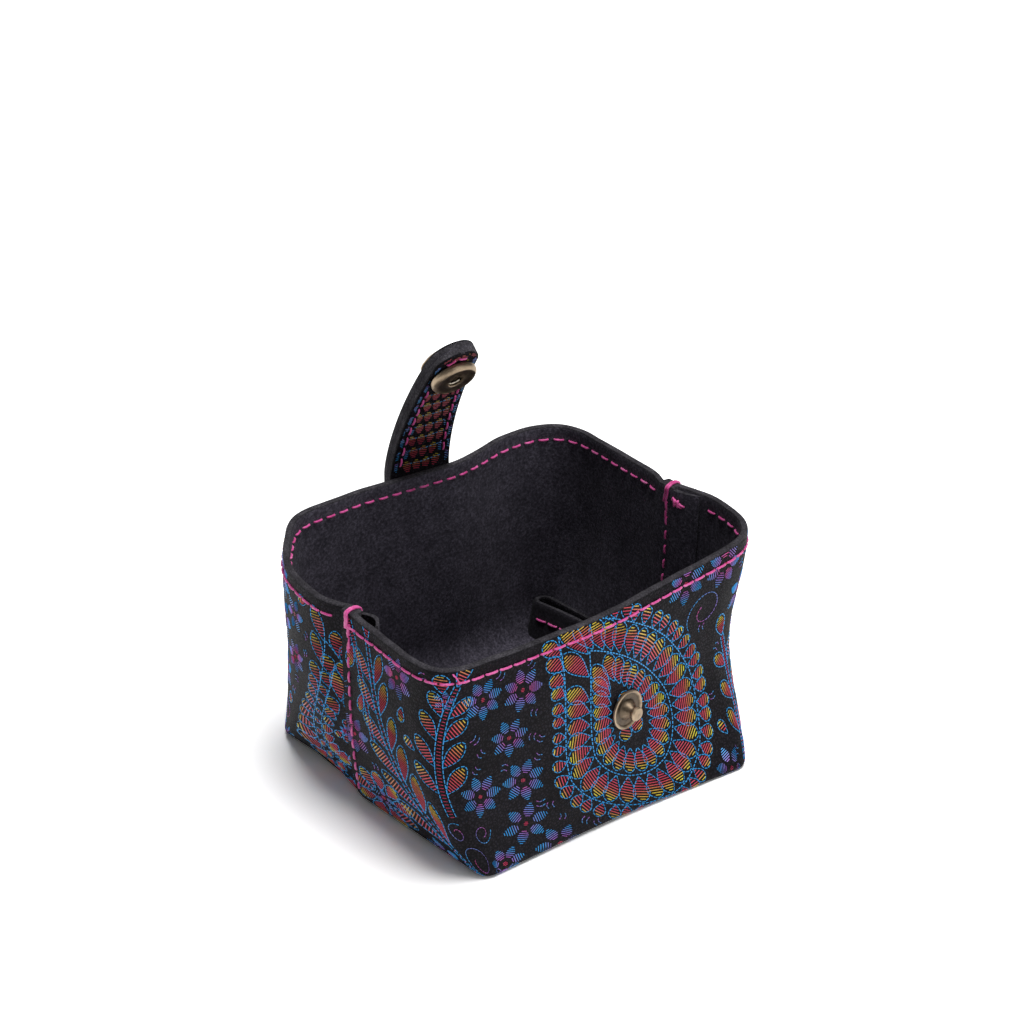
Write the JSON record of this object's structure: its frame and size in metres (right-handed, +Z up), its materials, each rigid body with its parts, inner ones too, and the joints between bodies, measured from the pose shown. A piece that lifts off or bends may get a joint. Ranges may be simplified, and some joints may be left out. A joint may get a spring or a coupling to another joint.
{
  "type": "snap-tab pouch",
  "caption": "Small open-topped leather pouch with sewn side seams, a boxed bottom and a tab that snaps over the mouth to a stud on the front wall.",
  "frame": {"origin": "middle of the base, on the surface the pouch stands on", "axes": "+Z up; the front wall with the snap stud faces -Y; +X is to the right as seen from the front"},
  "size_m": [0.1137, 0.098, 0.1104],
  "materials": {
    "printed_leather": "black suede-backed leather, fine grain outside, nap inside, cut edges left raw",
    "foil_print": "raised foil print in crimson, orange, olive yellow, blue and violet on the leather's outer face",
    "sewing_thread": "waxed polyester thread, hot pink",
    "antique_brass": "antique plated, polished high points and darker hollows",
    "spring_steel": "drawn wire, bright"
  },
  "bodies": {
    "root": {"body_panel": "printed_leather", "tab_inner_layer": "printed_leather", "tab_outer_layer": "printed_leather", "snap_cap": "antique_brass", "snap_socket": "antique_brass", "socket_spring": "spring_steel", "snap_stud": "antique_brass", "stud_eyelet": "antique_brass"}
  },
  "joints": []
}
